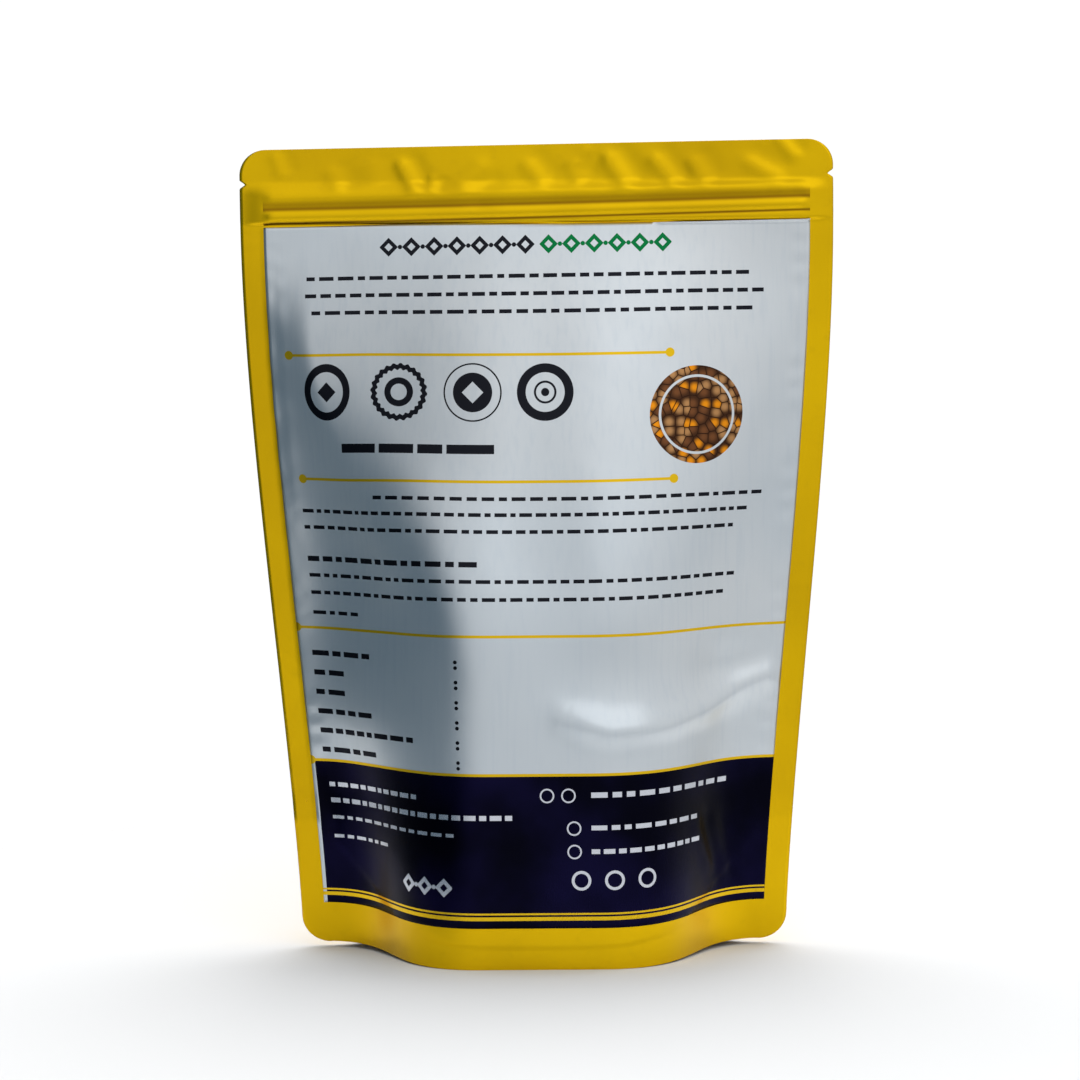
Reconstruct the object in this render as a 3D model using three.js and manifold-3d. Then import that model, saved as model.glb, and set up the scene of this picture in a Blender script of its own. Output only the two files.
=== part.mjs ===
// A filled stand-up zip pouch for a ground spice, with an adhesive label on its front.
// Millimetres, +Z up, the front faces -Y. The origin is on the surface that the pouch stands on,
// under the middle of its floor.
import * as THREE from "three";
import { mergeVertices } from "three/addons/utils/BufferGeometryUtils.js";
import Module from "manifold-3d";

const wasm = await Module();
wasm.setup();

// The pouch as it stands
const POUCH_WIDTH = 190; // along the film, from side edge to side edge
const POUCH_HEIGHT = 260;
const FILM = 0.4; // thickness of each film
const GAP = 0.3; // clearance between pieces that lie together
const LAYER = FILM + GAP; // from the middle of one film to the middle of the next
const SIDE_SEAL = 7.5; // width of the flat seal down each side
const TOP_CORNER_RADIUS = 8.2;
const BOTTOM_CORNER_RADIUS = 8.5;

// Tear notches
const NOTCH_BELOW_TOP = 11;
const NOTCH_DEPTH = 1.9;
const NOTCH_HEIGHT = 2.5;

// Belly: the turn of the film away from the side seals, in a horizontal section
const BASE_TURN = THREE.MathUtils.degToRad(60.6); // steepest turn at the foot
const TURN_FADE = 1.295; // how the turn dies out towards the zip
const TURN_ROUND = 0.907;
const TURN_SKEW = 0.848; // moves the steepest turn towards the seal
const TURN_WIDTH = 1.358;
const REACH_LOW = 76; // distance along the film over which it turns, at the foot
const REACH_HIGH = 90.9; // the same, just under the zip
const SECTION_STEPS = 48;

// Foot
const CORNER_LIFT = 2; // the foot's two ends stand this far off the surface
const LIFT_HEIGHT = 60; // and the lift dies out at this height
const FOOT_SEAL = 7; // height of the seal between film and gusset, in the middle
const GUSSET_FOLD = 40; // height of the gusset's fold in the side seals
const SEAL_CURVE = 3.2; // how late the foot seal's curved edge climbs
const FLOOR_FLAT = 0.55; // share of the floor's depth that lies flat on the surface
const FLOOR_SLOPE = 0.55; // most that the floor drops, as a share of its half depth
const LAYERS_END = 42; // the side seals hold the gusset's films up to here
const LAYERS_GONE = 48;

// Zip
const ZIP_FOOT = 235.4; // lower end of the ramp from the film to the zip
const ZIP_LOW = 236.6;
const ZIP_HIGH = 246;
const ZIP_TOP = 248;
const ZIP_MIDDLE = 240.4;
const ZIP_HALF_DEPTH = 1.6; // from the middle of the zip to the inside of the film
const ZIP_RAMP = 3; // width of the ramp at each end of the zip
const TAPE = 0.4;

// Label
const LABEL = 0.3;
const LABEL_FOOT = 13;

// Fill
const FILL_HEIGHT = 164;
const FILL_HEAP = 4; // how much higher the fill is in its middle
const FILL_INSET = 2.2; // from the middle of the film to the fill
const FILL_MARGIN = 31; // from the side edge to the fill, along the film
const FILL_CLEARANCE = 1.2; // above the floor

const COLUMNS_HALF = [0, 3.75, 7.5, 10.5, 17, 24, 31, 38, 46, 54, 63, 73, 84, 95];
const ROWS_BELLY = 13; // even rows between the gusset and the zip

const clamp = THREE.MathUtils.clamp;
const lerp = THREE.MathUtils.lerp;

// Places across the whole film, the right half mirroring the left.
const COLUMNS = [...COLUMNS_HALF, ...COLUMNS_HALF.slice(0, -1).reverse().map((s) => POUCH_WIDTH - s)];

// How far the film has come, sideways and outwards, at a distance along it from its side edge.
function runAlongFilm(distance, z) {
  const height = clamp(z / ZIP_FOOT, 0, 1);
  const turn = BASE_TURN * (1 - height ** TURN_FADE) ** TURN_ROUND;
  const reach = lerp(REACH_LOW, REACH_HIGH, height);
  const step = distance / SECTION_STEPS;
  let across = 0;
  let out = 0;
  for (let k = 0; k < SECTION_STEPS; k++) {
    const place = clamp(((k + 0.5) * step - SIDE_SEAL) / (reach - SIDE_SEAL), 0, 1);
    const angle = turn * Math.max(0, Math.sin(Math.PI * place ** TURN_SKEW)) ** TURN_WIDTH;
    across += Math.cos(angle) * step;
    out += Math.sin(angle) * step;
  }
  return { across, out };
}

// Half of what lies between the two films: the gusset low in the side seals, the zip near the top.
function filmSpread(s, z) {
  const edge = Math.min(s, POUCH_WIDTH - s);
  const gusset = LAYER * clamp((LAYERS_GONE - z) / (LAYERS_GONE - LAYERS_END), 0, 1);
  const below = clamp((z - ZIP_FOOT) / (ZIP_LOW - ZIP_FOOT), 0, 1);
  const above = clamp((ZIP_TOP - z) / (ZIP_TOP - ZIP_HIGH), 0, 1);
  const along = clamp((edge - SIDE_SEAL) / ZIP_RAMP, 0, 1);
  const zip = (ZIP_HALF_DEPTH + FILM / 2 - LAYER / 2) * Math.min(below, above) * along;
  return LAYER / 2 + gusset + zip;
}

// A point of the front film's middle surface, s along the film from its left edge.
function filmPoint(s, z) {
  const edge = Math.min(s, POUCH_WIDTH - s);
  const whole = runAlongFilm(POUCH_WIDTH / 2, z);
  const here = runAlongFilm(edge, z);
  const x = (whole.across - here.across) * Math.sign(s - POUCH_WIDTH / 2);
  const belly = whole.out > 0.001 ? here.out / whole.out : 0;
  const lift = CORNER_LIFT * clamp(1 - z / LIFT_HEIGHT, 0, 1) * (1 - belly);
  return new THREE.Vector3(x, -here.out - filmSpread(s, z), z + lift);
}

// The same point moved outwards, away from the inside of the pouch.
function filmOffset(s, z, outwards) {
  const h = 0.4;
  const left = filmPoint(Math.max(0, s - h), z);
  const right = filmPoint(Math.min(POUCH_WIDTH, s + h), z);
  const low = filmPoint(s, Math.max(0, z - h));
  const high = filmPoint(s, Math.min(POUCH_HEIGHT, z + h));
  const normal = right.sub(left).cross(high.sub(low)).normalize();
  const point = filmPoint(s, z).addScaledVector(normal, outwards);
  point.z = clamp(point.z, 0, POUCH_HEIGHT);
  return point;
}

// Joins closed loops into one body. Both halves of a loop are split into triangles alike.
function loft(loops) {
  const count = loops[0].length;
  const half = count / 2;
  const positions = loops.flat().flatMap((p) => [p.x, p.y, p.z]);
  const index = [];
  const quad = (a, b, c, d, flip) => index.push(...(flip ? [a, b, d, b, c, d] : [a, b, c, a, c, d]));
  for (let i = 0; i + 1 < loops.length; i++) {
    for (let k = 0; k < count; k++) {
      const next = (k + 1) % count;
      quad(i * count + k, (i + 1) * count + k, (i + 1) * count + next, i * count + next, k >= half);
    }
  }
  const last = (loops.length - 1) * count;
  for (let k = 0; k + 1 < half; k++) {
    quad(k, k + 1, count - 2 - k, count - 1 - k, false);
    quad(last + count - 1 - k, last + count - 2 - k, last + k + 1, last + k, false);
  }
  const geometry = new THREE.BufferGeometry();
  geometry.setAttribute("position", new THREE.Float32BufferAttribute(positions, 3));
  geometry.setIndex(index);
  return geometry;
}

// A sheet that follows the front film at a distance outwards from the film's middle.
function sheetOnFilm(columns, rows, outwards, thickness) {
  const loops = columns.map((s) => {
    const outer = rows.map((z) => filmOffset(s, z, outwards + thickness / 2));
    const inner = rows.map((z) => filmOffset(s, z, outwards - thickness / 2));
    return [...outer, ...inner.reverse()];
  });
  return loft(loops);
}

function toSolid(geometry) {
  const bare = geometry.clone();
  bare.deleteAttribute("normal");
  bare.deleteAttribute("uv");
  const merged = mergeVertices(bare, 1e-4);
  const mesh = new wasm.Mesh({
    numProp: 3,
    vertProperties: merged.attributes.position.array,
    triVerts: new Uint32Array(merged.index.array),
  });
  return new wasm.Manifold(mesh);
}

function toGeometry(solid) {
  const mesh = solid.getMesh();
  const geometry = new THREE.BufferGeometry();
  geometry.setAttribute("position", new THREE.Float32BufferAttribute(mesh.vertProperties, 3));
  geometry.setIndex([...mesh.triVerts]);
  return geometry;
}

function toBackSide(geometry) {
  const back = geometry.clone();
  back.rotateZ(Math.PI);
  return back;
}

// A straight prism through both films, from an outline in X and Z.
function prismThroughFilms(outline) {
  const shape = new THREE.Shape(outline.map(([x, z]) => new THREE.Vector2(x, z)));
  const prism = new THREE.ExtrudeGeometry(shape, { depth: 12, bevelEnabled: false });
  prism.rotateX(Math.PI / 2);
  prism.translate(0, 6, 0);
  return toSolid(prism);
}

// What rounds off one corner of the film; inX and inZ point from the corner into the film.
function cornerCutter(x, z, radius, inX, inZ) {
  const past = 3;
  const steps = 8;
  const outline = [[x - inX * past, z - inZ * past], [x + inX * radius, z - inZ * past]];
  for (let k = 0; k <= steps; k++) {
    const angle = (Math.PI / 2) * (k / steps);
    const px = x + inX * radius * (1 - Math.sin(angle));
    outline.push([px, z + inZ * radius * (1 - Math.cos(angle))]);
  }
  outline.push([x - inX * past, z + inZ * radius]);
  return prismThroughFilms(outline);
}

function notchCutter(side) {
  const edge = (side * POUCH_WIDTH) / 2;
  const z = POUCH_HEIGHT - NOTCH_BELOW_TOP;
  const mouth = NOTCH_HEIGHT / 2;
  const flare = mouth / NOTCH_DEPTH;
  return prismThroughFilms([
    [edge - side * NOTCH_DEPTH, z],
    [edge + side, z + mouth + flare],
    [edge + side, z - mouth - flare],
  ]);
}

function trimEdges(geometry) {
  const footX = runAlongFilm(POUCH_WIDTH / 2, 0).across;
  let solid = toSolid(geometry);
  for (const side of [-1, 1]) {
    const topX = (side * POUCH_WIDTH) / 2;
    solid = solid.subtract(cornerCutter(topX, POUCH_HEIGHT, TOP_CORNER_RADIUS, -side, -1));
    solid = solid.subtract(cornerCutter(side * footX, CORNER_LIFT, BOTTOM_CORNER_RADIUS, -side, 1));
    solid = solid.subtract(notchCutter(side));
  }
  return toGeometry(solid);
}

function filmRows() {
  const foot = [0, 13, 26, LAYERS_END, LAYERS_GONE];
  const belly = [];
  for (let k = 1; k < ROWS_BELLY; k++) belly.push(lerp(LAYERS_GONE, ZIP_FOOT, k / ROWS_BELLY));
  const header = [ZIP_FOOT, ZIP_LOW, ZIP_HIGH, ZIP_TOP, POUCH_HEIGHT];
  return [...foot, ...belly, ...header];
}

function makeFilm() {
  return trimEdges(sheetOnFilm(COLUMNS, filmRows(), 0, FILM));
}

function makeLabel() {
  const columns = COLUMNS.filter((s) => s >= SIDE_SEAL && s <= POUCH_WIDTH - SIDE_SEAL);
  const rows = filmRows().filter((z) => z >= LABEL_FOOT && z <= ZIP_FOOT);
  return sheetOnFilm(columns, rows, FILM / 2 + GAP + LABEL / 2, LABEL);
}

// Height of the curved edge of the foot seal, where the floor leaves the film.
function sealHeight(s) {
  const edge = Math.min(s, POUCH_WIDTH - s);
  const out = clamp((POUCH_WIDTH / 2 - edge) / (POUCH_WIDTH / 2 - SIDE_SEAL), 0, 1);
  return FOOT_SEAL + (GUSSET_FOLD - FOOT_SEAL) * out ** SEAL_CURVE;
}

// The floor's upper face at one place across: its edge, its middle height and its slope.
function floorShape(s) {
  const edge = filmOffset(s, sealHeight(s), -(FILM / 2 + GAP));
  const drop = Math.min(edge.z - FILM, FLOOR_SLOPE * -edge.y * (1 - FLOOR_FLAT) * 2);
  const slope = drop / ((1 - FLOOR_FLAT) * -edge.y);
  return { edge, drop, slope };
}

// How steeply the floor's edge and middle climb towards the sides.
function floorClimb(s) {
  const near = floorShape(Math.min(s + 1, POUCH_WIDTH));
  const far = floorShape(Math.max(s - 1, 0));
  const run = Math.max(0.1, Math.abs(near.edge.x - far.edge.x));
  const edge = Math.abs(near.edge.z - far.edge.z) / run;
  const middle = Math.abs(near.edge.z - near.drop - far.edge.z + far.drop) / run;
  return { edge, middle };
}

// One face of the gusset at one place across, from the front foot over the floor to the back foot.
function gussetFace(s, inset, middleX, edgeZ, middleZ) {
  const front = [];
  for (const share of [0, 0.35, 0.7]) {
    front.push(filmOffset(s, sealHeight(s) * share, -inset));
  }
  const edge = filmOffset(s, sealHeight(s), -inset);
  front.push(new THREE.Vector3(edge.x, edge.y, edgeZ));
  front.push(new THREE.Vector3(middleX, edge.y * FLOOR_FLAT, middleZ));
  const back = front.map((p) => new THREE.Vector3(p.x, -p.y, p.z)).reverse();
  return [...front, ...back];
}

function makeGusset() {
  const loops = COLUMNS.map((s) => {
    const { edge, drop, slope } = floorShape(s);
    const climb = floorClimb(s);
    const topInset = FILM / 2 + GAP;
    const middleZ = edge.z - drop;
    const underEdge = FILM * (slope + climb.edge + Math.hypot(1, slope, climb.edge));
    const underMiddle = Math.min(FILM * Math.hypot(1, slope, climb.middle), middleZ);
    const flatUnder = middleZ - FILM < 0.01 ? FILM : underMiddle;
    const top = gussetFace(s, topInset, edge.x, edge.z, middleZ);
    const bottomEdge = Math.max(0.2, edge.z - underEdge);
    const bottom = gussetFace(s, topInset + FILM, edge.x, bottomEdge, middleZ - flatUnder);
    return [...top, ...bottom.reverse()];
  });
  return trimEdges(loft(loops));
}

// The ground spice: it follows the films and the floor, a little inside them, with a low heap on top.
function makeFill() {
  const columns = COLUMNS.filter((s) => s >= FILL_MARGIN && s <= POUCH_WIDTH - FILL_MARGIN);
  const wallRows = [0.25, 0.5, 0.75, 1];
  const loops = columns.map((s) => {
    const { edge, drop } = floorShape(s);
    const foot = filmOffset(s, sealHeight(s), -FILL_INSET);
    const front = [
      new THREE.Vector3(foot.x, foot.y * FLOOR_FLAT, edge.z - drop + FILL_CLEARANCE),
      new THREE.Vector3(foot.x, foot.y, edge.z + FILL_CLEARANCE),
    ];
    for (const share of wallRows) {
      front.push(filmOffset(s, lerp(edge.z + FILL_CLEARANCE, FILL_HEIGHT, share), -FILL_INSET));
    }
    const shoulder = front[front.length - 1];
    front.push(new THREE.Vector3(shoulder.x, shoulder.y * 0.4, shoulder.z + FILL_HEAP));
    const back = front.map((p) => new THREE.Vector3(p.x, -p.y, p.z)).reverse();
    return [...front, ...back];
  });
  return loft(loops);
}

// A strip along the zip, from an outline in Y and Z.
function zipStrip(outline) {
  const length = POUCH_WIDTH - 2 * (SIDE_SEAL + ZIP_RAMP + 0.5);
  const shape = new THREE.Shape(outline.map(([y, z]) => new THREE.Vector2(y, z)));
  const strip = new THREE.ExtrudeGeometry(shape, { depth: length, bevelEnabled: false });
  const alongX = new THREE.Matrix4().makeBasis(
    new THREE.Vector3(0, 1, 0),
    new THREE.Vector3(0, 0, 1),
    new THREE.Vector3(1, 0, 0),
  );
  strip.applyMatrix4(alongX);
  strip.translate(-length / 2, 0, ZIP_MIDDLE);
  return strip;
}

const TAPE_FACE = ZIP_HALF_DEPTH - GAP - TAPE; // inner face of each tape, from the zip's middle
const TAPE_LOW = ZIP_LOW + 0.2 - ZIP_MIDDLE;
const TAPE_HIGH = ZIP_HIGH - 0.2 - ZIP_MIDDLE;
const CLAW_INSIDE = 0.9;
const CLAW_OUTSIDE = 1.35;
const CLAW_HOOK = 0.45;
const CLAW_TIP = 0.3;

// Two hooked claws on a tape, which the rib snaps between.
function makeGrooveStrip() {
  const upper = [
    [-TAPE_FACE, CLAW_OUTSIDE],
    [CLAW_TIP, CLAW_OUTSIDE],
    [CLAW_TIP, CLAW_HOOK],
    [0, CLAW_HOOK],
    [0, CLAW_INSIDE],
    [-TAPE_FACE, CLAW_INSIDE],
  ];
  const lower = upper.map(([y, z]) => [y, -z]).reverse();
  return zipStrip([
    [-TAPE_FACE - TAPE, TAPE_LOW],
    [-TAPE_FACE - TAPE, TAPE_HIGH],
    [-TAPE_FACE, TAPE_HIGH],
    ...upper,
    ...lower,
    [-TAPE_FACE, TAPE_LOW],
  ]);
}

// A stem with a wider head on a tape.
function makeRibStrip() {
  const stem = 0.15;
  const head = 0.6;
  return zipStrip([
    [TAPE_FACE + TAPE, TAPE_LOW],
    [TAPE_FACE, TAPE_LOW],
    [TAPE_FACE, -stem],
    [-0.3, -stem],
    [-0.3, -head],
    [-0.6, 0],
    [-0.3, head],
    [-0.3, stem],
    [TAPE_FACE, stem],
    [TAPE_FACE, TAPE_HIGH],
    [TAPE_FACE + TAPE, TAPE_HIGH],
  ]);
}

const yellowFilm = new THREE.MeshStandardMaterial({ color: 0xd0a200, roughness: 0.36, metalness: 0.35 });
const silverLabel = new THREE.MeshStandardMaterial({ color: 0xc8d0d6, roughness: 0.42, metalness: 0.3 });
const clearPlastic = new THREE.MeshStandardMaterial({ color: 0xe8e4d8, roughness: 0.4, metalness: 0 });
const groundSpice = new THREE.MeshStandardMaterial({ color: 0xc77a12, roughness: 0.95, metalness: 0 });

const film = makeFilm();
const subParts = [
  ["front_panel", film, yellowFilm],
  ["back_panel", toBackSide(film), yellowFilm],
  ["bottom_gusset", makeGusset(), yellowFilm],
  ["front_label", makeLabel(), silverLabel],
  ["zip_groove_strip", makeGrooveStrip(), clearPlastic],
  ["zip_rib_strip", makeRibStrip(), clearPlastic],
  ["spice_fill", makeFill(), groundSpice],
];

const pouch = new THREE.Group();
pouch.name = "stand_up_pouch";
for (const [name, geometry, material] of subParts) {
  const mesh = new THREE.Mesh(geometry, material);
  mesh.name = name;
  pouch.add(mesh);
}

export default pouch;
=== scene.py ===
# A filled stand-up zip pouch of yellow film with a silver front label, standing on a pale floor.
# Metres, +Z up, the front faces -Y. Lengths along the film and heights are written in millimetres
# through MM, and a place on the film is (s, z): s along the film from its left edge, z upwards.
import math

import bpy
import numpy as np
from mathutils import Matrix, Vector


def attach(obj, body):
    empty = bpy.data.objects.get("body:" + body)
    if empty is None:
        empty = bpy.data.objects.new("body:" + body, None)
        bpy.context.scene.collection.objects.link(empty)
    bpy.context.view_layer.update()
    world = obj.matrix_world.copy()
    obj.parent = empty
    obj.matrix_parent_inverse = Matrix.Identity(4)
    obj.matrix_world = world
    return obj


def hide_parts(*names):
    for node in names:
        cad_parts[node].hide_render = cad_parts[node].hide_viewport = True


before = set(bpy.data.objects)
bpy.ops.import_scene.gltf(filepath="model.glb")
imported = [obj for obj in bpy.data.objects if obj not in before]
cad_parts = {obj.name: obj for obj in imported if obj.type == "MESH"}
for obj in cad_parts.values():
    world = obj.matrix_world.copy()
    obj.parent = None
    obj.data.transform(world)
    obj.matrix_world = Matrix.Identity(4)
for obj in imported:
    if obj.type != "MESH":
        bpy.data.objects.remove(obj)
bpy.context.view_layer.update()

MM = 0.001

# The pouch as it stands
POUCH_WIDTH = 190
POUCH_HEIGHT = 260
FILM = 0.4
SIDE_SEAL = 7.5
TOP_CORNER_RADIUS = 8.2
BOTTOM_CORNER_RADIUS = 8.5
NOTCH_Z = POUCH_HEIGHT - 11
NOTCH_DEPTH = 1.9
NOTCH_HEIGHT = 2.5

# Belly
BASE_TURN = math.radians(60.6)
TURN_FADE = 1.295
TURN_ROUND = 0.907
TURN_SKEW = 0.848
TURN_WIDTH = 1.358
REACH_LOW = 76
REACH_HIGH = 90.9
SECTION_STEPS = 48

# Foot
CORNER_LIFT = 2
LIFT_HEIGHT = 60
FOOT_SEAL = 7
GUSSET_FOLD = 40
SEAL_CURVE = 3.2

# Zip
ZIP_FOOT = 235.4
ZIP_LOW = 236.6
ZIP_HIGH = 246
ZIP_TOP = 248
ZIP_BULGE = 1.45

# Painted shade in the grooves beside the zip's rail, where the film's colour is darkened: height, half
# width, share
ZIP_GROOVE_SHADES = [(240.9, 1.2, 0.8), (242.3, 1.9, 0.5), (236.5, 0.8, 0.9)]
ZIP_RISE = 1.2

# The top of the pouch sits a little high and tilted: how much in the middle, and more at the right
TOP_RISE = 0.35
TOP_TILT = 0.95

# Label
LABEL = 0.16
LABEL_FOOT = 13.4
LABEL_TOP = 235.2
LABEL_LIFT = FILM / 2 + 0.27 + LABEL / 2

# Relief of the header: each crease runs from one (s, z) to another, with a width and a height
HEADER_CREASES = [
    ((11, 259), (14, 251), 2.0, 0.25),
    ((29, 254), (32, 246), 2.6, 0.28),
    ((42, 256), (44, 248), 3.6, 0.22),
    ((51, 256), (57, 245), 2.5, 0.62),
    ((62, 251), (61, 245.5), 1.8, 0.32),
    ((79, 255), (70, 245.5), 3.4, 0.46),
    ((91, 255), (98, 246.5), 2.7, 0.48),
    ((106, 255), (109, 246.5), 2.3, 0.34),
    ((112, 259), (108, 253), 2.6, 0.28),
    ((117, 257), (125, 245), 2.9, 0.66),
    ((132, 256), (140, 245.5), 2.5, 0.54),
    ((144.5, 255), (150, 246), 2.6, 0.42),
    ((161, 254), (174, 246.5), 2.6, 0.44),
    ((172, 261), (178.5, 253.5), 2.0, 0.46),
]

# Relief of the side seals
SEAL_CREASES = [
    ((-1, 97), (8, 90.5), 0.8, 0.10),
    ((182, 51), (191, 51), 0.7, 0.12),
    ((-1, 231), (7, 230), 0.8, 0.10),
    ((182, 118), (191, 119.5), 0.9, 0.07),
]

# The curved ridge low on the front, and the shallow dents round it: centre, radii, depth
BELLY_RIDGE = [(95, 89), (103, 80), (117, 75.5), (135, 76.5), (153, 80), (168, 86), (183, 90)]
RIDGE_WIDTH = 4.8
RIDGE_HEIGHT = 1.6
BELLY_DENTS = [
    ((32, 85), (15, 32), -2.4),
    ((119, 92), (23, 13), 2.1),
    ((160, 93), (14, 8), 1.4),
    ((168, 74), (9, 10), 0.7),
    ((60, 60), (30, 18), 0.5),
]

# The soft fold where the belly's left side turns away: it runs from high by the side seal, FOLD_TOP,
# down to the dent, FOLD_FOOT, both (s, z); to its left the film drops off, to its right it is flatter
FOLD_TOP = (22, 200)
FOLD_FOOT = (80, 75)
FOLD_HEIGHT = 4.8
FOLD_DROP_MOST = 20
FOLD_FLAT = 26

# Wrinkles low on the right, and how far the side seals lean back at their outer edge
LOW_CREASES = [
    ((150, 44), (160, 25), 3.2, 0.34),
    ((160, 44), (168, 20), 2.8, 0.36),
    ((172, 40), (174, 18), 2.4, 0.28),
]
SEAL_LEAN = 0.35

# How the film rolls up out of the side seals: height, and the lengths over which it comes and goes
EDGE_ROLL = 1.8
ROLL_IN = 5
ROLL_OUT = 40


# Rows of dashes printed on the label: (left, right, top), rows, pitch, thickness, length of a
# stretch, seed, raggedness, centred or not
DASH_GAP = 1.3
LIST_TOP = 98.2
LIST_PITCH = 6.35
LIST_MARKS = 69
BLACK_ROWS = [
    ((17, 175, 218.9), 3, 5.5, 1.25, 9.5, 3, 12.0, True),
    ((32, 88, 165.6), 1, 6.0, 2.9, 26.0, 41, 2.0, False),
    ((14, 38, 149.8), 1, 5.0, 2.3, 24.0, 12, 0.0, False),
    ((43, 178, 149.2), 1, 5.0, 1.2, 9.0, 11, 6.0, False),
    ((14, 172, 144.2), 2, 5.3, 1.2, 9.2, 17, 22.0, False),
    ((14, 82, 128.9), 1, 5.0, 1.7, 10.5, 19, 2.0, False),
    ((14, 170, 123.3), 2, 5.6, 1.2, 9.0, 23, 10.0, False),
    ((14, 38, 111.2), 1, 5.0, 1.2, 9.0, 29, 2.0, False),
    ((12, 66, LIST_TOP), 6, LIST_PITCH, 1.7, 12.0, 31, 34.0, False),
]
PALE_ROWS = [
    ((13, 60, 54.6), 1, 5.0, 1.5, 9.6, 53, 2.0, False),
    ((13, 92, 49.2), 1, 5.0, 1.6, 9.6, 55, 2.0, False),
    ((13, 72, 43.2), 1, 5.0, 1.1, 8.4, 57, 2.0, False),
    ((13, 46, 36.8), 1, 5.0, 1.1, 8.4, 59, 2.0, False),
    ((111, 176, 56.4), 1, 5.0, 1.7, 9.4, 61, 2.0, False),
    ((111, 162, 45.9), 2, 7.5, 1.5, 9.8, 67, 8.0, False),
]


def smooth(value):
    value = np.clip(value, 0, 1)
    return value * value * (3 - 2 * value)


def run_along_film(distance, z):
    """How far the film has come, sideways and outwards, at a distance along it from its edge."""
    height = np.clip(z / ZIP_FOOT, 0, 1)
    turn = BASE_TURN * (1 - height ** TURN_FADE) ** TURN_ROUND
    reach = REACH_LOW + (REACH_HIGH - REACH_LOW) * height
    step = distance / SECTION_STEPS
    across = np.zeros_like(step)
    out = np.zeros_like(step)
    for k in range(SECTION_STEPS):
        place = np.clip(((k + 0.5) * step - SIDE_SEAL) / (reach - SIDE_SEAL), 0, 1)
        angle = turn * np.clip(np.sin(np.pi * place ** TURN_SKEW), 0, 1) ** TURN_WIDTH
        across += np.cos(angle) * step
        out += np.sin(angle) * step
    return across, out


def film_spread(edge, z):
    """Half of what lies between the films: the gusset low in the seals, the zip near the top."""
    gusset = 0.9 * smooth((52 - z) / (12 + 24 * smooth((edge - 8) / 12)))
    below = smooth((z - ZIP_FOOT) / (ZIP_LOW - ZIP_FOOT))
    above = smooth((ZIP_TOP + 1.5 - z) / (ZIP_TOP + 2.5 - ZIP_HIGH))
    along = smooth((edge + 1) / 11)
    return 0.35 + gusset + ZIP_BULGE * np.minimum(below, above) * along


def film_points(s, z, side=1):
    """Points of a film's middle surface, in millimetres, as for the front; side is -1 for the back."""
    edge = np.minimum(s, POUCH_WIDTH - s)
    tilt = side * TOP_TILT * (2 * s / POUCH_WIDTH - 1)
    z = z + (TOP_RISE + tilt) * smooth((z - 190) / 45)
    here_across, here_out = run_along_film(edge, z)
    whole_across, whole_out = run_along_film(np.full_like(edge, POUCH_WIDTH / 2), z)
    x = (whole_across - here_across) * np.sign(s - POUCH_WIDTH / 2)
    belly = here_out / np.maximum(whole_out, 0.001)
    lift = CORNER_LIFT * np.clip(1 - z / LIFT_HEIGHT, 0, 1) * (1 - belly)
    lean = side * SEAL_LEAN * np.clip(1 - edge / SIDE_SEAL, 0, 1) * smooth((ZIP_FOOT - z) / 20)
    return np.stack([x, lean - here_out - film_spread(edge, z), z + lift], axis=-1)


def crease(s, z, start, end, width, height):
    """A soft ridge with a valley beside it, along a straight line that fades at both ends."""
    line = np.array(end, float) - np.array(start, float)
    length = np.hypot(*line)
    along = ((s - start[0]) * line[0] + (z - start[1]) * line[1]) / length ** 2
    aside = ((s - start[0]) * line[1] - (z - start[1]) * line[0]) / length
    fade = np.exp(-(np.clip(np.abs(along - 0.5) - 0.3, 0, None) / 0.22) ** 2)
    ridge = np.exp(-(aside / width) ** 2)
    valley = np.exp(-((aside + 1.7 * width) / (1.2 * width)) ** 2)
    return height * fade * (ridge - 0.7 * valley)


def path_distance(s, z, points):
    """Distance from a path, and the share of the path at the nearest point."""
    nearest = np.full(s.shape, 1e9)
    share = np.zeros(s.shape)
    count = len(points) - 1
    for k in range(count):
        a, b = np.array(points[k], float), np.array(points[k + 1], float)
        line = b - a
        t = np.clip(((s - a[0]) * line[0] + (z - a[1]) * line[1]) / (line @ line), 0, 1)
        gap = np.hypot(s - a[0] - t * line[0], z - a[1] - t * line[1])
        closer = gap < nearest
        nearest = np.where(closer, gap, nearest)
        share = np.where(closer, (k + t) / count, share)
    return nearest, share


def seal_height(s):
    edge = np.minimum(s, POUCH_WIDTH - s)
    out = np.clip((POUCH_WIDTH / 2 - edge) / (POUCH_WIDTH / 2 - SIDE_SEAL), 0, 1)
    return FOOT_SEAL + (GUSSET_FOLD - FOOT_SEAL) * out ** SEAL_CURVE


def zip_relief(s, z):
    """The zip's rail showing through the film, with a groove above and below it."""
    edge = np.minimum(s, POUCH_WIDTH - s)
    z = z - ZIP_RISE * (s / POUCH_WIDTH) ** 2
    along = smooth((edge - SIDE_SEAL) / 3)
    rail = 0.5 * np.exp(-((z - 238.7) / 1.2) ** 2)
    groove = -0.3 * np.exp(-((z - 241.2) / 1.1) ** 2) - 0.3 * np.exp(-((z - 236.6) / 0.6) ** 2)
    brow = 0.3 * np.exp(-((z - 244.6) / 1.1) ** 2)
    return along * (rail + groove + brow)


def seal_relief(s, z):
    """Small puckers and the step where the film leaves the side and foot seals."""
    edge = np.minimum(s, POUCH_WIDTH - s)
    step = 0.22 * smooth((edge - SIDE_SEAL + 0.6) / 1.2) * (z < ZIP_FOOT)
    foot = 0.18 * smooth((z - seal_height(s) + 0.5) / 1.0)
    pucker = np.sin(z * 0.62 + np.sin(z * 0.17) * 2.2) * np.exp(-((edge - 10.5) / 2.6) ** 2)
    return step + foot + 0.09 * pucker * (z < ZIP_FOOT - 4) * (z > GUSSET_FOLD)


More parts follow.
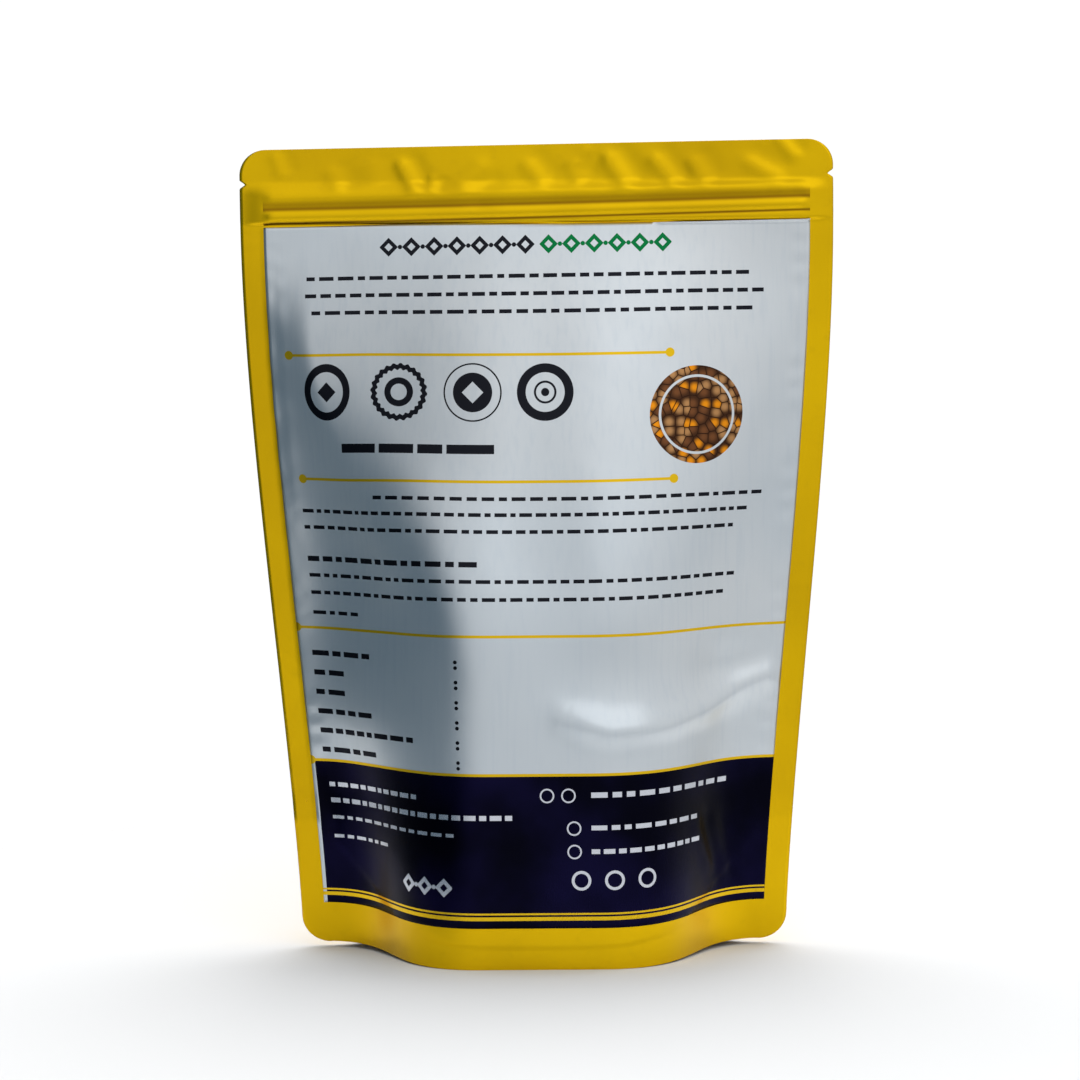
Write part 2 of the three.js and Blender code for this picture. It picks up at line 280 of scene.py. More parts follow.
def edge_roll(s, z):
    """The film's round rise out of both side seals."""
    inwards = np.maximum(np.minimum(s, POUCH_WIDTH - s) - SIDE_SEAL, 0)
    rise = np.exp(-inwards / ROLL_OUT) - np.exp(-inwards / ROLL_IN)
    return EDGE_ROLL * rise * smooth((z - 50) / 30) * smooth((ZIP_FOOT - 5 - z) / 40)


def side_fold(s, z):
    """The belly's fold: a crest that slants down and inwards, steep outside and gentle inside."""
    fall = smooth((z - FOLD_FOOT[1]) / (FOLD_TOP[1] - FOLD_FOOT[1]))
    crest = FOLD_FOOT[0] - (FOLD_FOOT[0] - FOLD_TOP[0]) * fall
    outside = np.minimum((crest - SIDE_SEAL + 1.5) / 1.7, FOLD_DROP_MOST)
    width = np.where(s < crest, outside, FOLD_FLAT)
    height = FOLD_HEIGHT * smooth((z - 55) / 90) * smooth((ZIP_FOOT - z) / 70)
    return height * np.exp(-((s - crest) / width) ** 2) * smooth((s - SIDE_SEAL) / 5)


def front_relief(s, z):
    relief = zip_relief(s, z) + seal_relief(s, z) + edge_roll(s, z) + side_fold(s, z)
    relief = relief + 0.4 * side_fold(POUCH_WIDTH - s, z)
    for start, end, width, height in HEADER_CREASES + SEAL_CREASES + LOW_CREASES:
        relief = relief + crease(s, z, start, end, width, height)
    gap, share = path_distance(s, z, BELLY_RIDGE)
    ends = smooth(share / 0.28) * smooth((1 - share) / 0.06)
    relief = relief + RIDGE_HEIGHT * np.exp(-(gap / RIDGE_WIDTH) ** 2) * ends
    for centre, radii, depth in BELLY_DENTS:
        far = ((s - centre[0]) / radii[0]) ** 2 + ((z - centre[1]) / radii[1]) ** 2
        relief = relief - depth * np.exp(-far)
    return relief


def back_relief(s, z):
    """The back is out of the photo's sight: the same zip and seals, and soft dents of its own."""
    relief = zip_relief(s, z) + seal_relief(s, z) + edge_roll(s, z)
    for start, end, width, height in HEADER_CREASES[2:12:2]:
        mirrored = [(POUCH_WIDTH - p[0], p[1]) for p in (start, end)]
        relief = relief + crease(s, z, mirrored[0], mirrored[1], width, height * 0.8)
    relief = relief + crease(s, z, (60, 120), (128, 96), 10.0, 0.8)
    relief = relief + crease(s, z, (122, 188), (78, 164), 12.0, 0.7)
    return relief


def edge_inset(z):
    """How far the outline comes in from the straight edge, at the corners and the tear notch."""
    top = np.clip(TOP_CORNER_RADIUS - (POUCH_HEIGHT - z), 0, TOP_CORNER_RADIUS)
    low = np.clip(BOTTOM_CORNER_RADIUS - z, 0, BOTTOM_CORNER_RADIUS)
    round_top = TOP_CORNER_RADIUS - np.sqrt(TOP_CORNER_RADIUS ** 2 - top ** 2)
    round_low = BOTTOM_CORNER_RADIUS - np.sqrt(BOTTOM_CORNER_RADIUS ** 2 - low ** 2)
    notch = NOTCH_DEPTH * np.clip(1 - np.abs(z - NOTCH_Z) / (NOTCH_HEIGHT / 2), 0, 1)
    return round_top + round_low + notch


def corner_rows(radius):
    return [radius * (1 - math.cos(math.radians(a))) for a in range(0, 91, 9)]


def film_grid():
    """Places (s, z) over the whole film, closer together at the corners, notches and zip."""
    rows = set(np.round(np.arange(0, ZIP_FOOT - 1, 1.6), 3))
    rows |= set(np.round(np.arange(ZIP_FOOT - 1, POUCH_HEIGHT, 0.5), 3))
    rows |= {round(r, 3) for r in corner_rows(BOTTOM_CORNER_RADIUS)}
    rows |= {round(POUCH_HEIGHT - r, 3) for r in corner_rows(TOP_CORNER_RADIUS)}
    rows = np.array(sorted(rows))
    rows = rows[np.concatenate([[True], np.diff(rows) > 0.04])]
    rows[-1] = POUCH_HEIGHT
    even = np.linspace(0, POUCH_WIDTH, 171)
    s, z = np.meshgrid(even, rows)
    near_edge = 16
    squeeze = edge_inset(z)
    left = np.clip(1 - s / near_edge, 0, 1)
    right = np.clip(1 - (POUCH_WIDTH - s) / near_edge, 0, 1)
    return s + squeeze * (left - right), z


def label_grid():
    columns = np.linspace(SIDE_SEAL, POUCH_WIDTH - SIDE_SEAL, 191)
    rows = np.linspace(LABEL_FOOT, LABEL_TOP, 201)
    return np.meshgrid(columns, rows)


def sheet_positions(s, z, relief, outwards, side=1):
    """Points of a sheet that follows the film, raised by its relief, in metres."""
    points = film_points(s, z, side)
    step = 0.3
    right = film_points(np.clip(s + step, 0, POUCH_WIDTH), z, side)
    left = film_points(np.clip(s - step, 0, POUCH_WIDTH), z, side)
    high = film_points(s, np.clip(z + step, 0, POUCH_HEIGHT), side)
    low = film_points(s, np.clip(z - step, 0, POUCH_HEIGHT), side)
    normal = np.cross(right - left, high - low)
    normal /= np.linalg.norm(normal, axis=-1, keepdims=True)
    points = points + normal * (outwards + relief)[..., None]
    points[..., 2] = np.maximum(points[..., 2], 0)
    return points * MM


def grid_object(name, points, s, z):
    """An open sheet of quads with the film's own places as its UV map."""
    rows, columns = s.shape
    index = np.arange(rows * columns).reshape(rows, columns)
    quads = np.stack([index[:-1, :-1], index[:-1, 1:], index[1:, 1:], index[1:, :-1]], axis=-1)
    mesh = bpy.data.meshes.new(name)
    mesh.from_pydata(points.reshape(-1, 3).tolist(), [], quads.reshape(-1, 4).tolist())
    layer = mesh.uv_layers.new(name="film_place")
    corners = np.empty(len(mesh.loops), dtype=np.int32)
    mesh.loops.foreach_get("vertex_index", corners)
    place = np.stack([s.ravel() / POUCH_WIDTH, z.ravel() / POUCH_HEIGHT], axis=-1)
    layer.data.foreach_set("uv", place[corners].ravel())
    mesh.polygons.foreach_set("use_smooth", np.ones(len(mesh.polygons), dtype=bool))
    piece = bpy.data.objects.new(name, mesh)
    bpy.context.scene.collection.objects.link(piece)
    return piece


def pucker_tree():
    """Geometry nodes that give a sheet the soft unevenness of filled film."""
    tree = bpy.data.node_groups.new("film_puckers", "GeometryNodeTree")
    face = tree.interface
    face.new_socket("Geometry", in_out="INPUT", socket_type="NodeSocketGeometry")
    for label, value in (("Height", 0.0003), ("Size", 0.03), ("Seed", 4.0)):
        socket = face.new_socket(label, in_out="INPUT", socket_type="NodeSocketFloat")
        socket.default_value = value
    face.new_socket("Finish", in_out="INPUT", socket_type="NodeSocketMaterial")
    face.new_socket("Geometry", in_out="OUTPUT", socket_type="NodeSocketGeometry")
    add = tree.nodes.new
    link = tree.links.new
    given = add("NodeGroupInput")
    noise = add("ShaderNodeTexNoise")
    noise.noise_dimensions = "4D"
    noise.inputs["Detail"].default_value = 1.5
    scale = add("ShaderNodeMath")
    scale.operation = "DIVIDE"
    scale.inputs[0].default_value = 1.0
    centre = add("ShaderNodeMath")
    centre.operation = "SUBTRACT"
    centre.inputs[1].default_value = 0.5
    amount = add("ShaderNodeMath")
    amount.operation = "MULTIPLY"
    push = add("ShaderNodeVectorMath")
    push.operation = "SCALE"
    normal = add("GeometryNodeInputNormal")
    place = add("GeometryNodeInputPosition")
    move = add("GeometryNodeSetPosition")
    real = add("GeometryNodeRealizeInstances")
    finish = add("GeometryNodeSetMaterial")
    out = add("NodeGroupOutput")
    link(given.outputs["Size"], scale.inputs[1])
    link(scale.outputs[0], noise.inputs["Scale"])
    link(given.outputs["Seed"], noise.inputs["W"])
    link(place.outputs[0], noise.inputs["Vector"])
    link(noise.outputs[0], centre.inputs[0])
    link(centre.outputs[0], amount.inputs[0])
    link(given.outputs["Height"], amount.inputs[1])
    link(normal.outputs[0], push.inputs[0])
    link(amount.outputs[0], push.inputs["Scale"])
    link(given.outputs["Geometry"], move.inputs["Geometry"])
    link(push.outputs[0], move.inputs["Offset"])
    link(move.outputs[0], real.inputs[0])
    link(real.outputs[0], finish.inputs["Geometry"])
    link(given.outputs["Finish"], finish.inputs["Material"])
    link(finish.outputs[0], out.inputs[0])
    return tree


def pucker(piece, tree, material, height, size):
    """Runs the tree on a sheet and keeps the result as a plain mesh."""
    modifier = piece.modifiers.new("puckers", "NODES")
    modifier.node_group = tree
    values = {"Height": height * MM, "Size": size * MM, "Seed": 4.0, "Finish": material}
    for item in tree.interface.items_tree:
        if item.in_out == "INPUT" and item.name in values:
            modifier[item.identifier] = values[item.name]
    graph = bpy.context.evaluated_depsgraph_get()
    graph.update()
    result = bpy.data.meshes.new_from_object(piece.evaluated_get(graph))
    piece.modifiers.clear()
    piece.data = result
    return piece


def give_thickness(piece, thickness):
    modifier = piece.modifiers.new("wall", "SOLIDIFY")
    modifier.thickness = thickness * MM
    modifier.offset = 0
    modifier.use_quality_normals = True
    graph = bpy.context.evaluated_depsgraph_get()
    graph.update()
    result = bpy.data.meshes.new_from_object(piece.evaluated_get(graph))
    piece.modifiers.clear()
    piece.data = result
    return piece


class Sums:
    """Short names for shader maths, so that a pattern reads as a sum."""

    def __init__(self, tree):
        self.tree = tree

    def node(self, kind):
        return self.tree.nodes.new(kind)

    def put(self, socket, value):
        if isinstance(value, (int, float)):
            socket.default_value = value
        else:
            self.tree.links.new(value, socket)

    def do(self, operation, *values):
        made = self.node("ShaderNodeMath")
        made.operation = operation
        for socket, value in zip(made.inputs, values):
            self.put(socket, value)
        return made.outputs[0]

    def add(self, a, b):
        return self.do("ADD", a, b)

    def sub(self, a, b):
        return self.do("SUBTRACT", a, b)

    def mul(self, a, b):
        return self.do("MULTIPLY", a, b)

    def both(self, a, b):
        return self.do("MINIMUM", a, b)

    def either(self, a, b):
        return self.do("MAXIMUM", a, b)

    def below(self, a, limit):
        return self.do("LESS_THAN", a, limit)

    def between(self, a, low, high):
        return self.both(self.below(low, a), self.below(a, high))

    def far(self, s, z, centre, squash=1.0):
        ds = self.mul(self.sub(s, centre[0]), squash)
        dz = self.sub(z, centre[1])
        return self.do("SQRT", self.add(self.mul(ds, ds), self.mul(dz, dz)))

    def mix(self, share, a, b):
        made = self.node("ShaderNodeMix")
        made.data_type = "RGBA"
        self.put(made.inputs[0], share)
        for socket, value in ((made.inputs[6], a), (made.inputs[7], b)):
            if isinstance(value, tuple):
                socket.default_value = (*value, 1)
            else:
                self.tree.links.new(value, socket)
        return made.outputs[2]

    def noise(self, vector, scale, detail=2.0):
        made = self.node("ShaderNodeTexNoise")
        made.inputs["Scale"].default_value = scale
        made.inputs["Detail"].default_value = detail
        self.tree.links.new(vector, made.inputs["Vector"])
        return made.outputs[0]

    def ramp(self, value, low, high, out_low=0.0, out_high=1.0):
        made = self.node("ShaderNodeMapRange")
        made.interpolation_type = "SMOOTHSTEP"
        self.put(made.inputs[0], value)
        for socket, number in zip(made.inputs[1:5], (low, high, out_low, out_high)):
            socket.default_value = number
        return made.outputs[0]

    def stretch(self, vector, scale):
        made = self.node("ShaderNodeMapping")
        made.inputs["Scale"].default_value = scale
        self.tree.links.new(vector, made.inputs["Vector"])
        return made.outputs[0]


def start_material(name, metallic, coat, coat_roughness):
    material = bpy.data.materials.new(name)
    material.use_nodes = True
    tree = material.node_tree
    shader = tree.nodes["Principled BSDF"]
    shader.inputs["Metallic"].default_value = metallic
    shader.inputs["Coat Weight"].default_value = coat
    shader.inputs["Coat Roughness"].default_value = coat_roughness
    place = tree.nodes.new("ShaderNodeTexCoord").outputs["Object"]
    return material, Sums(tree), shader, place


def set_bump(sums, shader, height, distance, strength=1.0):
    bump = sums.node("ShaderNodeBump")
    bump.inputs["Strength"].default_value = strength
    bump.inputs["Distance"].default_value = distance
    sums.tree.links.new(height, bump.inputs["Height"])
    sums.tree.links.new(bump.outputs[0], shader.inputs["Normal"])


def film_place(sums):
    """The place (s, z) on the film, in millimetres, from the sheet's own UV map."""
    place = sums.node("ShaderNodeUVMap")
    place.uv_map = "film_place"
    split = sums.node("ShaderNodeSeparateXYZ")
    sums.tree.links.new(place.outputs[0], split.inputs[0])
    return sums.mul(split.outputs["X"], POUCH_WIDTH), sums.mul(split.outputs["Y"], POUCH_HEIGHT)


def yellow_film_material():
    material, sums, shader, place = start_material("yellow_film", 0.95, 0.04, 0.15)
    cloud = sums.noise(place, 14, 3)
    grain = sums.noise(sums.stretch(place, (1, 1, 0.12)), 900, 2)
    dust = sums.noise(place, 260, 4)
    base = sums.mix(sums.ramp(cloud, 0.3, 0.7), (0.67, 0.405, 0.001), (0.80, 0.50, 0.001))
    base = sums.mix(sums.mul(sums.ramp(dust, 0.55, 0.8), 0.2), base, (0.58, 0.35, 0.003))
    s, z = film_place(sums)
    inside = sums.between(s, SIDE_SEAL, POUCH_WIDTH - SIDE_SEAL)
    z = sums.sub(z, sums.mul(sums.mul(s, s), ZIP_RISE / POUCH_WIDTH ** 2))
    # Painted shade: the film's colour darkens in bands along the zip's grooves
    for height, half, share in ZIP_GROOVE_SHADES:
        depth = sums.ramp(sums.do("ABSOLUTE", sums.sub(z, height)), 0, half, share, 0)
        base = sums.mix(sums.mul(depth, inside), base, (0.20, 0.085, 0.001))
    sums.tree.links.new(base, shader.inputs["Base Color"])
    rough = sums.add(sums.ramp(cloud, 0.25, 0.75, 0.25, 0.32), sums.mul(grain, 0.06))
    sums.tree.links.new(rough, shader.inputs["Roughness"])
    height = sums.add(sums.mul(grain, 0.35), sums.mul(dust, 0.65))
    set_bump(sums, shader, height, 0.00004, 0.6)
    return material


def luck(sums, row, cell, seed):
    """A random number for each row, and for each word where a cell is given."""
    made = sums.node("ShaderNodeTexWhiteNoise")
    made.noise_dimensions = "2D"
    pair = sums.node("ShaderNodeCombineXYZ")
    sums.put(pair.inputs[0], sums.add(row, seed))
    sums.put(pair.inputs[1], cell)
    sums.tree.links.new(pair.outputs[0], made.inputs["Vector"])
    return made.outputs["Value"]


def dash_rows(sums, s, z, place, rows, pitch, height, stretch, seed, ragged=12.0, centred=False):
    """Rows of plain dashes: place is (left, right, top), and each stretch holds one or two dashes."""
    left, right, top = place
    down = sums.do("DIVIDE", sums.sub(top, z), pitch)
    row = sums.do("FLOOR", down)
    in_row = sums.below(sums.do("FRACT", down), height / pitch)
    row_luck = luck(sums, row, 0.0, seed)
    short = sums.mul(row_luck, ragged)
    start = sums.add(sums.mul(short, 0.5), left) if centred else left
    length = sums.mul(sums.add(sums.mul(row_luck, 0.35), 0.85), stretch)
    along = sums.do("DIVIDE", sums.sub(s, start), length)
    cell = sums.do("FLOOR", along)
    share = sums.do("FRACT", along)
    split = sums.add(sums.mul(luck(sums, row, sums.add(cell, 5), seed), 0.3), 0.28)
    off_split = sums.do("ABSOLUTE", sums.sub(share, split))
    gap = DASH_GAP / stretch
    dashed = sums.both(sums.below(share, 1 - gap), sums.below(gap / 2, off_split))
    room = sums.sub(right - left, short)
    last = sums.do("FLOOR", sums.do("DIVIDE", room, length))
    inside = sums.both(sums.below(start, s), sums.below(cell, last))
    inside = sums.both(inside, sums.between(z, top - rows * pitch, top))
    return sums.both(inside, sums.both(in_row, dashed))


def list_marks(sums, s, z):
    """A pair of small round dots at the end of each row of the list."""
    down = sums.do("FRACT", sums.do("DIVIDE", sums.sub(LIST_TOP, z), LIST_PITCH))
    ds = sums.sub(s, LIST_MARKS)
    dots = []
    for share in (0.1, 0.38):
        dz = sums.mul(sums.sub(down, share), LIST_PITCH)
        dots.append(sums.below(sums.add(sums.mul(ds, ds), sums.mul(dz, dz)), 0.36))
    return sums.both(sums.either(*dots), sums.between(z, LIST_TOP - 6 * LIST_PITCH, LIST_TOP))


def rule(sums, s, z, left, right, height, dot_at):
    """A thin line with a round dot at each place named."""
    line = sums.both(sums.between(s, left, right), sums.between(z, height - 0.45, height + 0.45))
    for place in dot_at:
        line = sums.either(line, sums.below(sums.far(s, z, (place, height)), 1.45))
    return line


def ring(sums, s, z, centre, outer, inner, squash=1.0, teeth=0):
    far = sums.far(s, z, centre, squash)
    if teeth:
        turn = sums.do("ARCTAN2", sums.sub(z, centre[1]), sums.sub(s, centre[0]))
        far = sums.add(far, sums.mul(sums.do("SINE", sums.mul(turn, teeth)), 0.28))
    return sums.between(far, inner, outer)


def lozenge(sums, s, z, centre, size):
    sideways = sums.do("ABSOLUTE", sums.sub(s, centre[0]))
    upright = sums.do("ABSOLUTE", sums.sub(z, centre[1]))
    return sums.below(sums.add(sideways, upright), size)


def badges(sums, s, z):
    """Four plain round ornaments."""
    marks = [
        ring(sums, s, z, (27, 182), 9.0, 6.4, 1.12),
        lozenge(sums, s, z, (27, 182), 3.2),
        ring(sums, s, z, (51, 182), 8.9, 7.2, 1.0, 24),
        ring(sums, s, z, (51, 182), 4.6, 2.6),
        ring(sums, s, z, (74.5, 182), 9.2, 8.7),
        ring(sums, s, z, (74.5, 182), 6.2, 0),
        ring(sums, s, z, (97.5, 182), 9.0, 6.2),
        ring(sums, s, z, (97.5, 182), 3.6, 2.9),
        ring(sums, s, z, (97.5, 182), 1.3, 0),
    ]
    total = marks[0]
    for mark in marks[1:]:
        total = sums.either(total, mark)
    hole = lozenge(sums, s, z, (74.5, 182), 3.4)
    return sums.both(total, sums.sub(1, hole))


def ornament_row(sums, s, z, left, right, height, pitch):
    """A row of lozenges with a small dot between each two."""
    along = sums.do("DIVIDE", sums.sub(s, left), pitch)
    cell = sums.mul(sums.sub(sums.do("FRACT", along), 0.5), pitch)
    upright = sums.do("ABSOLUTE", sums.sub(z, height))
    big = sums.below(sums.add(sums.do("ABSOLUTE", cell), upright), 3.0)
    core = sums.below(sums.add(sums.do("ABSOLUTE", cell), upright), 1.3)
    dots = sums.mul(sums.sub(sums.do("FRACT", sums.add(along, 0.5)), 0.5), pitch)
    dot = sums.below(sums.add(sums.mul(dots, dots), sums.mul(upright, upright)), 0.5)
    row = sums.either(sums.both(big, sums.sub(1, core)), dot)
    return sums.both(row, sums.between(s, left + 0.8, right - 0.8))


def printed_label_material():
    """Silver film label with its printing. Its inks lie where the label's own places say."""
    material, sums, shader, place = start_material("printed_label", 0.98, 0.02, 0.08)
    s, z = film_place(sums)
    cloud = sums.noise(place, 11, 2)
    weft = sums.noise(sums.stretch(place, (1, 1, 0.05)), 700, 2)
    warp = sums.noise(sums.stretch(place, (0.05, 1, 1)), 700, 2)
    silver = sums.mix(sums.ramp(cloud, 0.3, 0.7), (0.56, 0.61, 0.65), (0.64, 0.67, 0.69))
    silver = sums.mix(sums.mul(sums.ramp(weft, 0.45, 0.75), 0.25), silver, (0.50, 0.56, 0.62))
    colour = silver

    black = badges(sums, s, z)
    for rows in BLACK_ROWS:
        black = sums.either(black, dash_rows(sums, s, z, *rows))
    black = sums.either(black, list_marks(sums, s, z))
    dark_row = ornament_row(sums, s, z, 44, 95.2, 228, 7.3)
    green_row = ornament_row(sums, s, z, 95.2, 139, 228, 7.3)
    colour = sums.mix(sums.either(black, dark_row), colour, (0.012, 0.013, 0.018))
    colour = sums.mix(green_row, colour, (0.004, 0.17, 0.045))

    # A round mosaic of spice colours
    flat = sums.node("ShaderNodeCombineXYZ")
    sums.put(flat.inputs[0], s)
    sums.put(flat.inputs[1], z)
    cells = sums.node("ShaderNodeTexVoronoi")
    rims = sums.node("ShaderNodeTexVoronoi")
    rims.feature = "DISTANCE_TO_EDGE"
    for pattern in (cells, rims):
        pattern.voronoi_dimensions = "2D"
        pattern.inputs["Scale"].default_value = 0.34
        sums.tree.links.new(flat.outputs[0], pattern.inputs["Vector"])
    tint = sums.node("ShaderNodeSeparateColor")
    sums.tree.links.new(cells.outputs["Color"], tint.inputs[0])
    mosaic = sums.mix(sums.below(tint.outputs[0], 0.45), (0.45, 0.23, 0.09), (0.17, 0.065, 0.025))
    mosaic = sums.mix(sums.below(tint.outputs[1], 0.26), mosaic, (0.82, 0.28, 0.01))
    mosaic = sums.mix(sums.ramp(cells.outputs["Distance"], 0.1, 0.75), mosaic, (0.06, 0.025, 0.012))
    mosaic = sums.mix(sums.below(rims.outputs["Distance"], 0.05), mosaic, (0.03, 0.012, 0.006))
    disc = sums.below(sums.far(s, z, (146, 174)), 15.5)
    disc = sums.both(disc, sums.sub(1, ring(sums, s, z, (146, 174), 12.6, 11.8)))
    colour = sums.mix(disc, colour, mosaic)

    gold = rule(sums, s, z, 14, 137.3, 193.8, (14, 137.3))
    gold = sums.either(gold, rule(sums, s, z, 15.3, 138, 154, (15.3, 138)))
    gold = sums.either(gold, rule(sums, s, z, 7, 183, 105.6, (7.6,)))

    navy_top, navy_foot = 61.6, 16.9
    in_band = sums.both(sums.below(z, navy_top), sums.below(8.7, s))
    # Painted reflection: random lighter, bluer patches in the navy ink stand in for its bluish sheen
    navy_sheen_patches = sums.noise(place, 30, 3)
    navy = sums.mix(sums.ramp(navy_sheen_patches, 0.35, 0.75), (0.001, 0.001, 0.005), (0.005, 0.004, 0.028))
    pale = ornament_row(sums, s, z, 46.4, 67.4, 26, 7.0)
    for rows in PALE_ROWS:
        pale = sums.either(pale, dash_rows(sums, s, z, *rows))
    for centre in ((97, 55.4), (103.8, 55.4), (105.5, 45), (105.6, 37.6)):
        pale = sums.either(pale, ring(sums, s, z, centre, 2.3, 1.8))
    for centre in ((107.7, 28.5), (118.2, 28.5), (128.8, 28.5)):
        pale = sums.either(pale, ring(sums, s, z, centre, 3.1, 2.2))
    navy = sums.mix(pale, navy, (0.62, 0.64, 0.70))
    colour = sums.mix(in_band, colour, navy)

    gold = sums.either(gold, rule(sums, s, z, 7, 183, navy_top + 0.4, (7.6,)))
    stripes = sums.either(sums.between(z, 17.7, 18.3), sums.between(z, 15.9, 17.1))
    gold = sums.either(gold, stripes)
    colour = sums.mix(gold, colour, (0.74, 0.47, 0.012))
    sums.tree.links.new(colour, shader.inputs["Base Color"])

    ink = sums.either(in_band, black)
    rough = sums.add(sums.ramp(cloud, 0.3, 0.7, 0.27, 0.33), sums.mul(weft, 0.06))
    rough = sums.sub(rough, sums.mul(ink, 0.08))
    sums.tree.links.new(rough, shader.inputs["Roughness"])
    smudge = sums.noise(sums.stretch(place, (1, 1, 0.5)), 55, 4)
    height = sums.add(sums.mul(weft, 0.4), sums.add(sums.mul(warp, 0.2), sums.mul(smudge, 0.5)))
    set_bump(sums, shader, height, 0.00005, 0.5)
    return material


def zip_material():
    material, sums, shader, place = start_material("zip_plastic", 0.0, 0.1, 0.3)
    streak = sums.noise(sums.stretch(place, (0.05, 1, 1)), 500, 2)
    base = sums.mix(streak, (0.78, 0.75, 0.68), (0.88, 0.86, 0.80))
    sums.tree.links.new(base, shader.inputs["Base Color"])
    sums.tree.links.new(sums.ramp(streak, 0.2, 0.8, 0.32, 0.46), shader.inputs["Roughness"])
    set_bump(sums, shader, streak, 0.00003, 0.4)
    return material


def spice_material():
    material, sums, shader, place = start_material("ground_spice", 0.0, 0.0, 0.5)
    grain = sums.noise(place, 1800, 4)
    clump = sums.noise(place, 120, 3)
    base = sums.mix(grain, (0.42, 0.16, 0.008), (0.70, 0.32, 0.02))
    base = sums.mix(sums.mul(clump, 0.3), base, (0.30, 0.11, 0.006))
    sums.tree.links.new(base, shader.inputs["Base Color"])
    sums.tree.links.new(sums.ramp(grain, 0.2, 0.8, 0.82, 0.96), shader.inputs["Roughness"])
    set_bump(sums, shader, sums.add(grain, clump), 0.0006, 0.9)
    return material


def label_edge_lift(s, z):
    """The label's left edge stands off the film in small ripples."""
    edge = np.exp(-(s - SIDE_SEAL) / 3.2)
    ripple = 0.5 + 0.5 * np.sin(z * 0.36 + 0.8)
    window = np.exp(-((z - 178) / 26) ** 2)
    return 0.75 * edge * ripple * window


def make_film(name, relief, side, tree, material):
    s, z = film_grid()
    points = sheet_positions(s, z, relief(s, z), 0, side)
    piece = grid_object(name, points, s, z)
    pucker(piece, tree, material, 0.5, 26)
    return give_thickness(piece, FILM)


def make_label(tree, material):
    s, z = label_grid()
    raised = front_relief(s, z) + label_edge_lift(s, z)
    points = sheet_positions(s, z, raised, LABEL_LIFT)
    piece = grid_object("printed_label", points, s, z)
    pucker(piece, tree, material, 0.5, 26)
    return give_thickness(piece, LABEL)


def turn_to_back(piece):
    piece.data.transform(Matrix.Rotation(math.pi, 4, "Z"))


def put_on(piece, node):
    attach(piece, "root")
    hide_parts(node)


def make_pouch():
    tree = pucker_tree()
    film = yellow_film_material()
    front = make_film("front_film", front_relief, 1, tree, film)
    back = make_film("back_film", back_relief, -1, tree, film)
    turn_to_back(back)
    label = make_label(tree, printed_label_material())
    put_on(front, "front_panel")
    put_on(back, "back_panel")
    put_on(label, "front_label")
    finishes = {
        "bottom_gusset": film,
        "zip_groove_strip": zip_material(),
        "zip_rib_strip": bpy.data.materials["zip_plastic"],
        "spice_fill": spice_material(),
    }
    for node, material in finishes.items():
        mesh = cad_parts[node].data
        mesh.materials.clear()
        mesh.materials.append(material)


# Camera, at the photo's viewing angle; its focal length is given for a 1080 pixel picture
CAMERA_DISTANCE = 1400
CAMERA_HEIGHT = 294.7
CAMERA_PITCH = math.radians(6.591)
CAMERA_ROLL = math.radians(-0.64)
CAMERA_YAW = math.radians(-1.079)
FOCAL_PIXELS = 4360.2
PICTURE_PIXELS = 1080
SENSOR = 36.0


def make_camera():
    data = bpy.data.cameras.new("camera")
    data.sensor_width = SENSOR
    data.lens = FOCAL_PIXELS / PICTURE_PIXELS * SENSOR
    data.clip_start = 0.01
    camera = bpy.data.objects.new("camera", data)
    bpy.context.scene.collection.objects.link(camera)
    turn = Matrix.Rotation(-CAMERA_YAW, 4, "Z")
    eye = turn @ Vector((0, -CAMERA_DISTANCE * MM, CAMERA_HEIGHT * MM))
    aim = turn @ Matrix.Rotation(math.pi / 2 - CAMERA_PITCH, 4, "X")
    camera.matrix_world = Matrix.Translation(eye) @ aim @ Matrix.Rotation(CAMERA_ROLL, 4, "Z")
    bpy.context.scene.camera = camera


def add_light(name, place, aim, size, power, colour=(1, 1, 1)):
    data = bpy.data.lights.new(name, "AREA")
    data.shape = "RECTANGLE"
    data.size, data.size_y = size
    data.energy = power
    data.color = colour
    light = bpy.data.objects.new(name, data)
    bpy.context.scene.collection.objects.link(light)
    light.location = place
    light.rotation_euler = (Vector(aim) - Vector(place)).to_track_quat("-Z", "Y").to_euler()


# Light: a room that is dark and bluish to the front left and bright to the front right, a white
# backdrop behind, a large soft light in front, and a soft light high behind either side
FRONT_DARK = (0.115, 0.165, 0.205)
FRONT_BRIGHT = (0.86, 0.87, 0.88)
DARK_UNTIL = -0.66
BRIGHT_FROM = -0.17
BEHIND = 0.42
BACKDROP = 1.03
KEY_POWER = 2.6
REAR_LIGHTS = {"rear_left": ((-0.6, 0.75, 1.25), 1.4), "rear_right": ((0.6, 0.75, 1.25), 1.7)}
REAR_WIDTH = math.radians(55)
LOW_SHARE = 0.75
FLOOR_RADIUS = 0.27
FLOOR_SIDES = 96


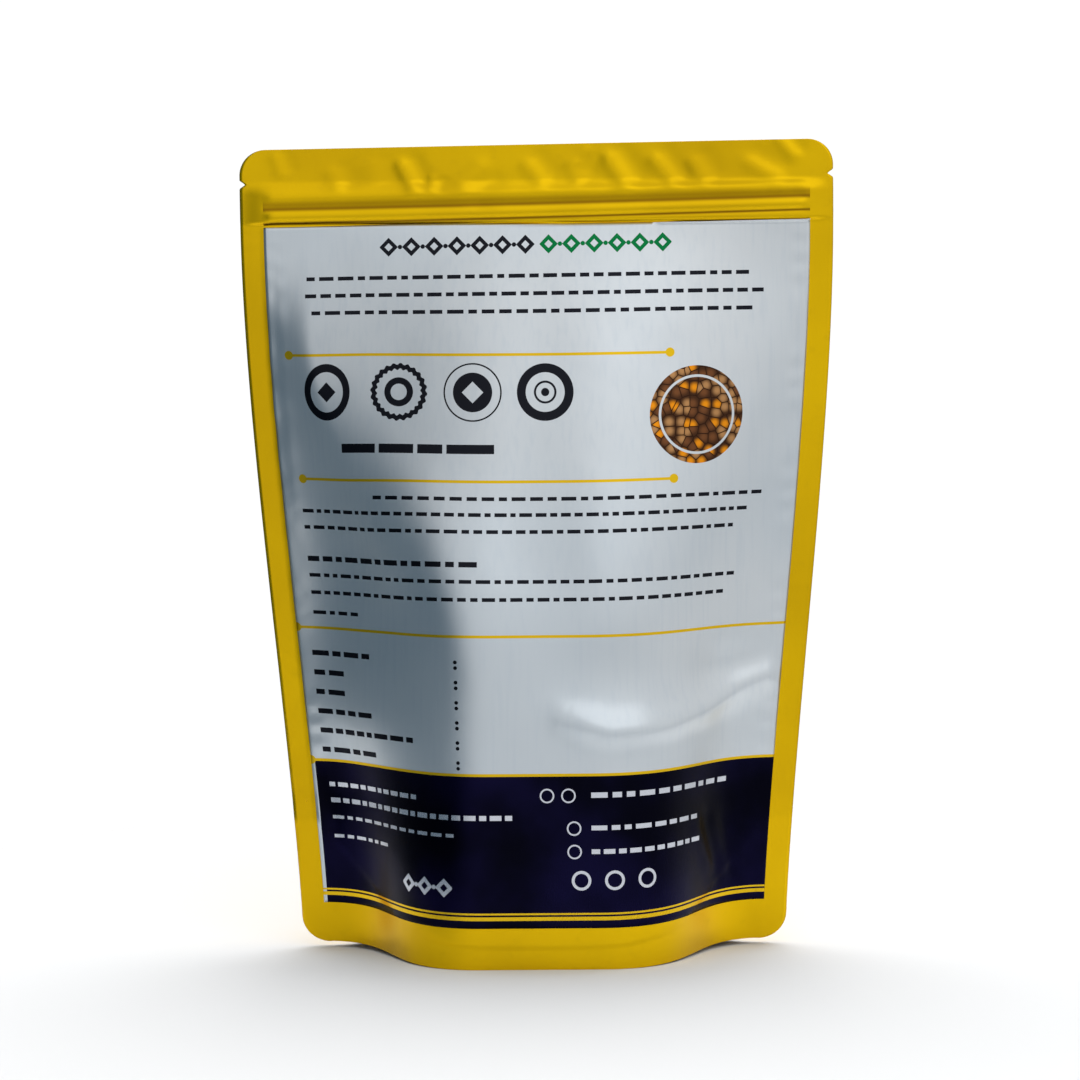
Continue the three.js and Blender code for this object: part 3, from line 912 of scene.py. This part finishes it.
def make_studio_world():
    world = bpy.data.worlds.new("studio")
    bpy.context.scene.world = world
    world.use_nodes = True
    sums = Sums(world.node_tree)
    way = sums.node("ShaderNodeTexCoord").outputs["Generated"]
    split = sums.node("ShaderNodeSeparateXYZ")
    sums.tree.links.new(way, split.inputs[0])
    front = sums.mix(sums.ramp(split.outputs["X"], DARK_UNTIL, BRIGHT_FROM), FRONT_DARK, FRONT_BRIGHT)
    behind = sums.ramp(split.outputs["Y"], 0.1, 0.55)
    room = sums.mix(behind, front, (BEHIND, BEHIND, BEHIND))
    low = sums.ramp(split.outputs["Z"], -0.3, 0.08, 1 - LOW_SHARE, 0)
    room = sums.mix(low, room, FRONT_DARK)
    seen = sums.node("ShaderNodeLightPath").outputs["Is Camera Ray"]
    background = world.node_tree.nodes["Background"]
    sums.tree.links.new(sums.mix(seen, room, (BACKDROP,) * 3), background.inputs["Color"])
    background.inputs["Strength"].default_value = 1.0


def make_studio():
    mesh = bpy.data.meshes.new("floor")
    turns = [math.tau * k / FLOOR_SIDES for k in range(FLOOR_SIDES)]
    rim = [(FLOOR_RADIUS * math.cos(a), FLOOR_RADIUS * math.sin(a), 0) for a in turns]
    mesh.from_pydata(rim, [], [tuple(range(FLOOR_SIDES))])
    floor = bpy.data.objects.new("floor", mesh)
    bpy.context.scene.collection.objects.link(floor)
    material, sums, shader, place = start_material("pale_floor", 0.0, 0.0, 0.5)
    speck = sums.noise(place, 3, 2)
    base = sums.mix(speck, (0.73, 0.73, 0.73), (0.76, 0.76, 0.76))
    sums.tree.links.new(base, shader.inputs["Base Color"])
    shader.inputs["Roughness"].default_value = 0.9
    shader.inputs["Specular IOR Level"].default_value = 0.1
    mesh.materials.append(material)

    make_studio_world()
    add_light("key_softbox", (0.7, -1.3, 1.3), (0, 0, 0.12), (1.5, 1.3), KEY_POWER)
    for name, (place, strength) in REAR_LIGHTS.items():
        data = bpy.data.lights.new(name, "SUN")
        data.energy = strength
        data.angle = REAR_WIDTH
        light = bpy.data.objects.new(name, data)
        bpy.context.scene.collection.objects.link(light)
        light.location = place
        light.rotation_euler = (-Vector(place)).to_track_quat("-Z", "Y").to_euler()
    bpy.context.scene.view_settings.view_transform = "Standard"


make_camera()
make_pouch()
make_studio()
